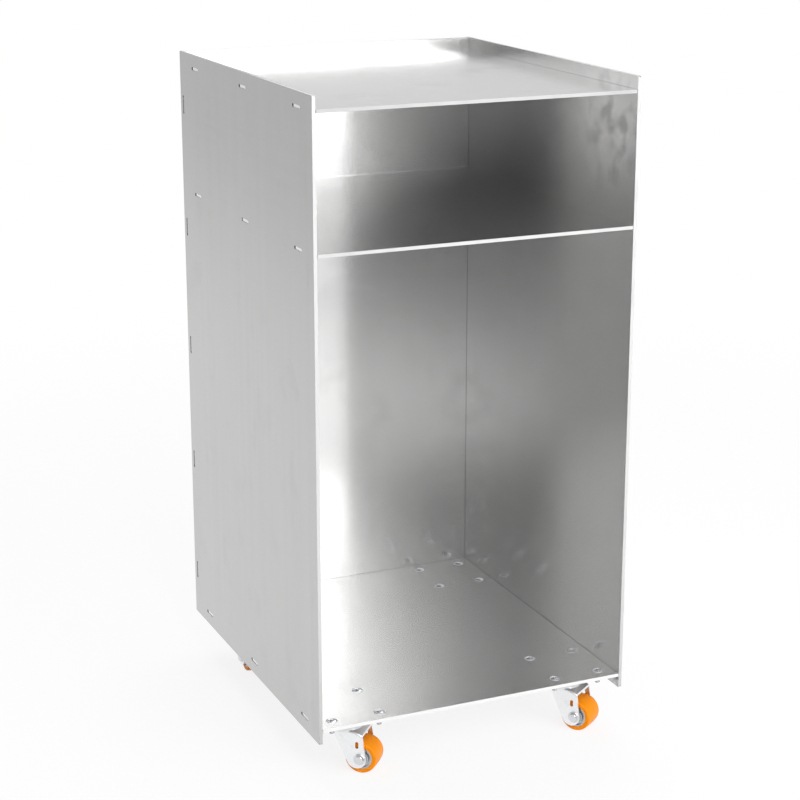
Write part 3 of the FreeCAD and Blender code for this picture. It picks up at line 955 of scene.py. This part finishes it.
@dataclass
class Caster:
    """One swivel caster: plate, fork, axle and wheel.

    Attributes:
        corner: where it stands.
        finishes: the materials by name.
        fork_width: over the legs, along the axle.
        nut_height: of the lock nut on the axle's right end.
        bolt_head_width: across the flats of the axle bolt's head.
        bolt_head_height: of that head.
        bolt_flange_width: across the flange under it.
        bolt_flange_height: of that flange.
        bolt_shank: radius of the bolt's shank.
        bolt_protrusion: how far it stands out of the nut.
        bolt_engaged: length of the thread that runs on inside the nut.
        ring_inner: inner radius of the lock nut's nylon ring.
        ring_outer: its outer radius.
        ring_proud: how far it stands out of the nut.
        ring_columns: how many points go round it.
        ring_rows: how many points go round its profile.
    """

    corner: Corner
    finishes: dict[str, bpy.types.Material]
    fork_width: float = 0.038
    nut_height: float = 0.006
    bolt_head_width: float = 0.010
    bolt_head_height: float = 0.004
    bolt_flange_width: float = 0.014
    bolt_flange_height: float = 0.0012
    bolt_shank: float = 0.003
    bolt_protrusion: float = 0.0015
    bolt_engaged: float = 0.002
    ring_inner: float = 0.00312
    ring_outer: float = 0.0041
    ring_proud: float = 0.00035
    ring_columns: int = 48
    ring_rows: int = 16

    def axle(self) -> tuple[Vector, Vector]:
        """Return the middle of the axle and its direction, from the left leg to the right."""
        name = self.corner.value + "_wheel_roll"
        joint = next(joint for joint in frame["joints"] if joint["name"] == name)
        return Vector(joint["pos_m"]), Vector(joint["axis"]).normalized()

    def node(self, kind: str) -> bpy.types.Object:
        """Return one of the caster's CAD nodes."""
        return frame["nodes"][self.corner.value + "_" + kind]

    def build(self) -> None:
        """Make the axle bolt with its thread, and the nylon ring of the lock nut."""
        middle, along = self.axle()
        radial = Vector((0, 0, 1)).cross(along)
        bolt = Fastener(
            Head.HEXAGON, self.bolt_head_width, self.bolt_head_height, 0.0, self.bolt_shank,
            self.fork_width + self.nut_height + self.bolt_protrusion,
            self.bolt_protrusion + self.bolt_engaged,
            self.bolt_flange_width, self.bolt_flange_height)
        seat = Placement(middle - along * (self.fork_width / 2), -along, radial)
        name = self.corner.value + "_threaded_axle"
        piece = add_piece(name, bolt.surface([seat]), self.finishes["bright_steel"])
        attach(piece, self.corner.value + "_swivel")
        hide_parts(self.corner.value + "_axle_bolt")
        name = self.corner.value + "_nylon_ring"
        mouth = middle + along * (self.fork_width / 2 + self.nut_height)
        surface = self.nylon_ring(Placement(mouth, along, radial))
        ring = add_piece(name, surface, self.finishes["nylon"])
        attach(ring, self.corner.value + "_swivel")

    def nylon_ring(self, mouth: Placement) -> Surface:
        """Work out the ring in the mouth of the lock nut.

        A closed profile, an ellipse across the ring's wall, is carried round the axle.

        Args:
            mouth: the frame at the nut's outer face.

        Returns:
            Its points and faces.
        """
        rows, columns = self.ring_rows, self.ring_columns
        profile = np.linspace(0.0, FULL_TURN, rows + 1)[:, None]
        angle = np.broadcast_to(np.arange(columns) * (FULL_TURN / columns), (rows + 1, columns))
        mean = (self.ring_inner + self.ring_outer) / 2
        wall = (self.ring_outer - self.ring_inner) / 2
        radius = np.broadcast_to(mean + wall * np.cos(profile), angle.shape)
        height = np.broadcast_to(self.ring_proud * -np.sin(profile), angle.shape)
        count = rows * columns
        faces = grid_faces(rows + 1, columns) % count
        return mouth.points(radius, height, angle)[:count], faces.tolist()

    def dress(self) -> None:
        """Give each node of the caster its finish."""
        kinds = {
            "zinc": ("caster_plate", "fork"),
            "bright_steel": (
                "kingpin", "swivel_balls", "axle_nut", "axle_sleeve", "wheel_bearings"),
            "cast": ("wheel_core",),
            "tread": ("tread",),
        }
        for finish, nodes in kinds.items():
            for kind in nodes:
                self.node(kind).material_slots[0].material = self.finishes[finish]
        log.info("dressed caster %s", self.corner.value)


def towards(place: Triple, aim: Triple) -> Quaternion:
    """Return the turn that points a lamp or camera from its place at a point."""
    return (Vector(aim) - Vector(place)).to_track_quat("-Z", "Y")


@dataclass(frozen=True)
class SoftLamp:
    """A rectangular soft lamp, unseen by the camera.

    Attributes:
        name: the lamp's name.
        place: its middle.
        aim: the point it faces.
        size: its width and height.
        radiance: how bright its face is, where 1 is white.
    """

    name: str
    place: Triple
    aim: Triple
    size: Span
    radiance: float

    def hang(self) -> None:
        """Make the lamp; its power is its radiance times pi times its area."""
        data = bpy.data.lights.new(self.name, "AREA")
        data.shape = "RECTANGLE"
        data.size, data.size_y = self.size
        data.energy = self.radiance * math.pi * self.size[0] * self.size[1]
        lamp = bpy.data.objects.new(self.name, data)
        lamp.location = self.place
        lamp.rotation_mode = "QUATERNION"
        lamp.rotation_quaternion = towards(self.place, self.aim)
        lamp.visible_camera = False
        bpy.context.scene.collection.objects.link(lamp)


@dataclass
class Studio:
    """A white floor and backdrop with soft lamps; the room low behind the camera is dim.

    Attributes:
        floor_reach: half the side of the floor.
        floor_white: its colour.
        glow_near: share of the floor's own white close to the cart, where its shadow falls.
        glow_reach: from where to where that share grows to the whole.
        side_fade: how much the floor's white fades far out to the left, beside the picture.
        side_reach: from where to where it does.
        front_reach: from where to where the floor grows from the room's strength to white.
        room_floor: strength of the floor in the room.
        far_reach: from where to where the pale floor beyond the room falls to its strength.
        far_floor: how pale it is there, where 1 is white.
        backdrop: strength of the pale surround.
        room: strength of the surround low down behind the camera.
        room_depth: from which heading to which, front to back, it grows to the backdrop's.
        room_height: from which heading to which, upwards, it does.
        bounce: share of the surround that lights rough surfaces.
        lamps: two boxes and two strips in front, two reflectors on the floor, one box overhead.
    """

    floor_reach: float = 14.0
    floor_white: Colour = (0.96, 0.96, 0.96)
    glow_near: float = 0.84
    glow_reach: Span = (0.7, 2.2)
    side_fade: float = 0.27
    side_reach: Span = (0.55, 1.9)
    front_reach: Span = (-2.0, -1.0)
    room_floor: float = 0.17
    far_reach: Span = (-3.5, -2.6)
    far_floor: float = 0.9
    backdrop: float = 0.88
    room: float = 0.1
    room_depth: Span = (-0.6, 0.1)
    room_height: Span = (0.1, 0.4)
    bounce: float = 0.55
    lamps: tuple[SoftLamp, ...] = (
        SoftLamp("front_soft_box", (1.0, -2.1, 1.0), (0.05, 0.0, 0.5), (1.5, 1.6), 3.7),
        SoftLamp("high_strip", (-0.46, -2.15, 1.5), (0.0, 0.0, 0.6), (0.32, 0.9), 7.0),
        SoftLamp("low_strip", (-0.46, -2.15, 0.65), (0.0, 0.0, 0.6), (0.2, 0.8), 4.5),
        SoftLamp("key_soft_box", (-0.15, -2.22, 1.89), (0.0, 0.08, 0.64), (1.6, 1.09), 3.1),
        SoftLamp("low_reflector", (0.2, -0.9, 0.02), (0.2, -0.9, 1.0), (1.1, 0.8), 0.9),
        SoftLamp("right_reflector", (0.85, -1.75, 0.02), (0.85, -1.75, 1.0), (0.9, 0.8), 0.37),
        SoftLamp("overhead_soft_box", (0.2, 0.9, 2.7), (0.0, 0.0, 0.6), (2.4, 2.4), 1.75),
    )

    def white_in_view(self, tree: ShaderTree, strength: Wire) -> dict[str, Any]:
        """Make the sockets of a glow that is white, at 1, in the camera's view.

        Args:
            tree: the tree to fill.
            strength: its strength for all other rays.

        Returns:
            The colour and the strength of the glow.
        """
        strength = strength + (1.0 - strength) * tree.ray(Ray.CAMERA)
        return {"Color": (1, 1, 1, 1), "Strength": strength}

    def direct_view(self, tree: ShaderTree) -> Wire:
        """Return 1 for rays from the camera, a reflection or through glass, and 0 for others."""
        return tree.ray(Ray.CAMERA) + tree.ray(Ray.GLOSSY) + tree.ray(Ray.TRANSMISSION)

    def floor_paint(self) -> bpy.types.Material:
        """Make the floor's material; away from the cart it turns to the backdrop's white.

        Returns:
            A new material.
        """
        made = bpy.data.materials.new("white_floor")
        tree = ShaderTree(made)
        mottle = tree.noise(tree.place(), 2.0, 2.0)
        paint = tree.node("ShaderNodeBsdfPrincipled", {}, {
            "Base Color": tree.shade(self.floor_white, 0.99 + 0.02 * mottle),
            "Roughness": 0.9,
            "Specular IOR Level": 0.0,
        })
        across = tree.component(tree.place(), Axis.ACROSS)
        depth = tree.component(tree.place(), Axis.DEPTH)
        far = self.far_floor * (1.0 - tree.ramp(depth, *self.far_reach))
        pale = tree.ramp(depth, *self.front_reach) + far
        strength = 1.0 - self.side_fade * tree.ramp(-1.0 * across, *self.side_reach)
        strength = strength * (self.room_floor + (1.0 - self.room_floor) * pale)
        white = tree.node("ShaderNodeEmission", {}, self.white_in_view(tree, strength))
        away = tree.node("ShaderNodeVectorMath", {"operation": "LENGTH"}, {0: tree.place()}, 1)
        share = self.glow_near + (1.0 - self.glow_near) * tree.ramp(away, *self.glow_reach)
        sockets = {0: share * self.direct_view(tree), 1: paint, 2: white}
        mixed = tree.node("ShaderNodeMixShader", {}, sockets)
        tree.node("ShaderNodeOutputMaterial", {}, {"Surface": mixed})
        return made

    def floor(self) -> None:
        """Lay a plain pale floor just under the wheels."""
        reach, level = self.floor_reach, cad_box[0].z
        turns = ((-1, -1), (1, -1), (1, 1), (-1, 1))
        corners = [(reach * across, reach * depth, level) for across, depth in turns]
        mesh = bpy.data.meshes.new("studio_floor")
        mesh.from_pydata(corners, [], [(0, 1, 2, 3)])
        mesh.materials.append(self.floor_paint())
        floor = bpy.data.objects.new("studio_floor", mesh)
        bpy.context.scene.collection.objects.link(floor)

    def light(self) -> None:
        """Light the cart with a pale surround and the lamps."""
        world = bpy.data.worlds.new("white_surround")
        bpy.context.scene.world = world
        tree = ShaderTree(world)
        heading = tree.node("ShaderNodeTexCoord", output="Generated")
        behind = 1.0 - tree.ramp(tree.component(heading, Axis.DEPTH), *self.room_depth)
        low = 1.0 - tree.ramp(tree.component(heading, Axis.UP), *self.room_height)
        strength = self.backdrop - (self.backdrop - self.room) * (behind * low)
        strength = strength * (self.bounce + (1.0 - self.bounce) * self.direct_view(tree))
        glow = tree.node("ShaderNodeBackground", {}, self.white_in_view(tree, strength))
        tree.node("ShaderNodeOutputWorld", {}, {"Surface": glow})
        for lamp in self.lamps:
            lamp.hang()


@dataclass
class PhotoCamera:
    """The camera at the photograph's viewing angle.

    Attributes:
        place: where it stands.
        target: the point it faces.
        lens: its focal length, in millimetres.
        sensor: the width of its sensor, in millimetres.
        clip_end: how far it sees.
    """

    place: Triple = (-0.9731, -2.2001, 1.0995)
    target: Triple = (0.0013, 0.0, 0.3918)
    lens: float = 90.5
    sensor: float = 36.0
    clip_end: float = 100.0

    def build(self) -> None:
        """Make the camera and give it to the scene."""
        data = bpy.data.cameras.new("photo_camera")
        data.lens = self.lens
        data.sensor_width = self.sensor
        data.clip_end = self.clip_end
        camera = bpy.data.objects.new("photo_camera", data)
        camera.location = self.place
        camera.rotation_mode = "QUATERNION"
        camera.rotation_quaternion = towards(self.place, self.target)
        bpy.context.scene.collection.objects.link(camera)
        bpy.context.scene.camera = camera


def hardware_finishes() -> dict[str, bpy.types.Material]:
    """Make the materials of the casters and the fasteners.

    Returns:
        The materials by name.
    """
    zinc, steel = (0.9, 0.905, 0.915), (0.7, 0.71, 0.73)
    return {
        # The zinc darkens between these heights as painted shade under the floor.
        "zinc": PlatedFinish("zinc_plate", zinc, 0.34, 420.0, (0.05, 0.064)).material(),
        "bright_steel": PlatedFinish("bright_steel", steel, 0.22, 900.0).material(),
        # The screws' rims are dulled and painted lighter, partly wear and partly a painted
        # highlight.
        "wear_and_highlight_steel": PlatedFinish("wear_and_highlight_steel", steel, 0.22, 900.0, wear_and_highlight=0.45).material(),
        "cast": CastFinish().material(),
        "tread": TreadFinish().material(),
        "nylon": NylonFinish().material(),
    }


def main() -> None:
    """Build the cart's hardware, dress its nodes, and set up the studio and the camera."""
    logging.basicConfig(level=logging.INFO)
    bpy.context.scene.view_settings.view_transform = "Standard"
    finishes = hardware_finishes()
    Carcass().dress()
    FloorFasteners(finishes["bright_steel"], finishes["wear_and_highlight_steel"]).build()
    for corner in Corner:
        caster = Caster(corner, finishes)
        caster.build()
        caster.dress()
    studio = Studio()
    studio.floor()
    studio.light()
    PhotoCamera().build()


if __name__ == "__main__":
    main()
